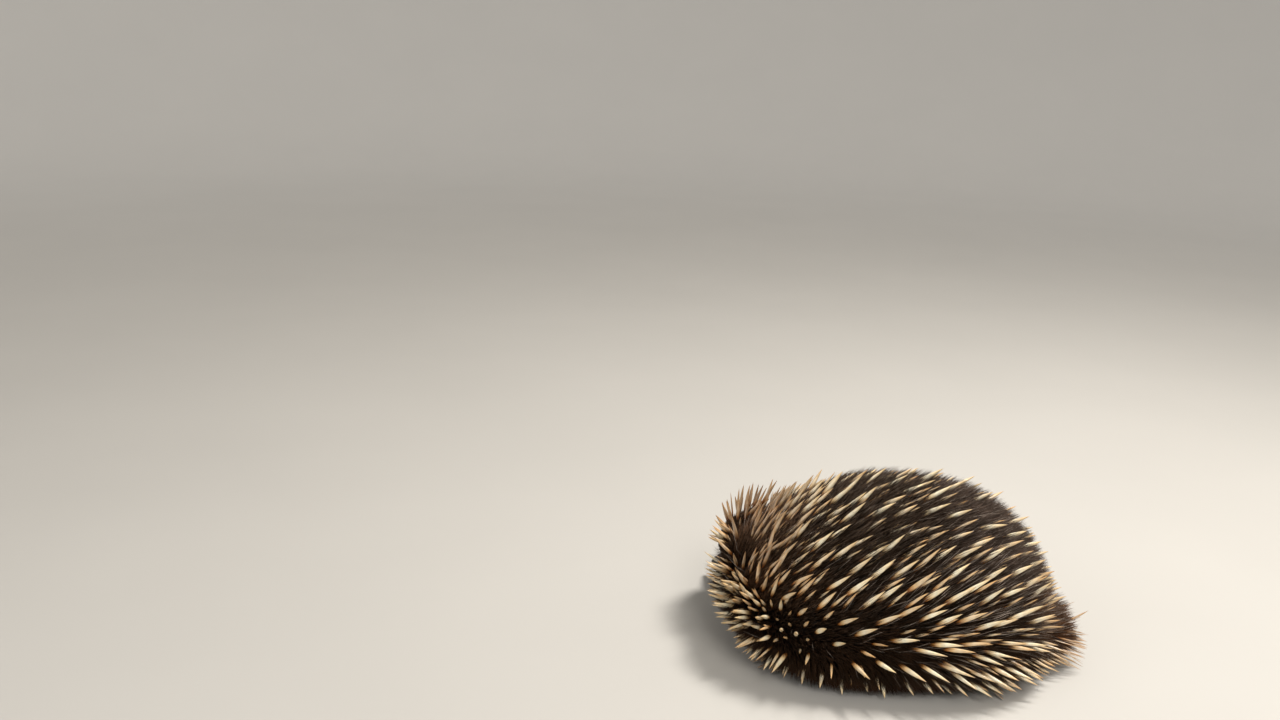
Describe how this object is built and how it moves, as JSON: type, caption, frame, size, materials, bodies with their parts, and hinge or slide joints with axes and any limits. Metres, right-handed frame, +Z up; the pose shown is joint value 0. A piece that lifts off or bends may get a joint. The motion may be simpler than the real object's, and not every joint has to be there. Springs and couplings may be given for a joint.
{
  "type": "short-beaked echidna",
  "caption": "Still life-size echidna hunkered on the ground, a low dome of cream spines over dark fur, its head bowed and turned to its right with the beak just showing.",
  "frame": {"origin": "middle of the footprint's bounding box, on the floor", "axes": "+X from the head end to the tail, +Y to the animal's right, +Z up"},
  "size_m": [0.3586, 0.2664, 0.1713],
  "materials": {
    "spines": "satin keratin, cream with brown roots and tips, over near-black fur",
    "body_fur": "coarse, near-black to dark brown fur",
    "face_fur": "short, close brown fur",
    "beak_skin": "smooth, bare, dark grey-brown skin",
    "ear_skin": "soft, bare, dark skin",
    "claw_horn": "worn horn, paler at the tips",
    "eye": "wet, black"
  },
  "bodies": {
    "root": {"trunk": "spines", "neck": "spines", "tail": "spines", "head": "face_fur", "beak": "beak_skin", "eye_left": "eye", "ear_left": "ear_skin", "eye_right": "eye", "ear_right": "ear_skin", "leg_fore_left": "body_fur", "foot_fore_left": "body_fur", "claw_fore_left_1": "claw_horn", "claw_fore_left_2": "claw_horn", "claw_fore_left_3": "claw_horn", "claw_fore_left_4": "claw_horn", "claw_fore_left_5": "claw_horn", "leg_fore_right": "body_fur", "foot_fore_right": "body_fur", "claw_fore_right_1": "claw_horn", "claw_fore_right_2": "claw_horn", "claw_fore_right_3": "claw_horn", "claw_fore_right_4": "claw_horn", "claw_fore_right_5": "claw_horn", "leg_hind_left": "body_fur", "foot_hind_left": "body_fur", "claw_hind_left_1": "claw_horn", "claw_hind_left_2": "claw_horn", "claw_hind_left_3": "claw_horn", "claw_hind_left_4": "claw_horn", "claw_hind_left_5": "claw_horn", "leg_hind_right": "body_fur", "foot_hind_right": "body_fur", "claw_hind_right_1": "claw_horn", "claw_hind_right_2": "claw_horn", "claw_hind_right_3": "claw_horn", "claw_hind_right_4": "claw_horn", "claw_hind_right_5": "claw_horn"}
  },
  "joints": []
}
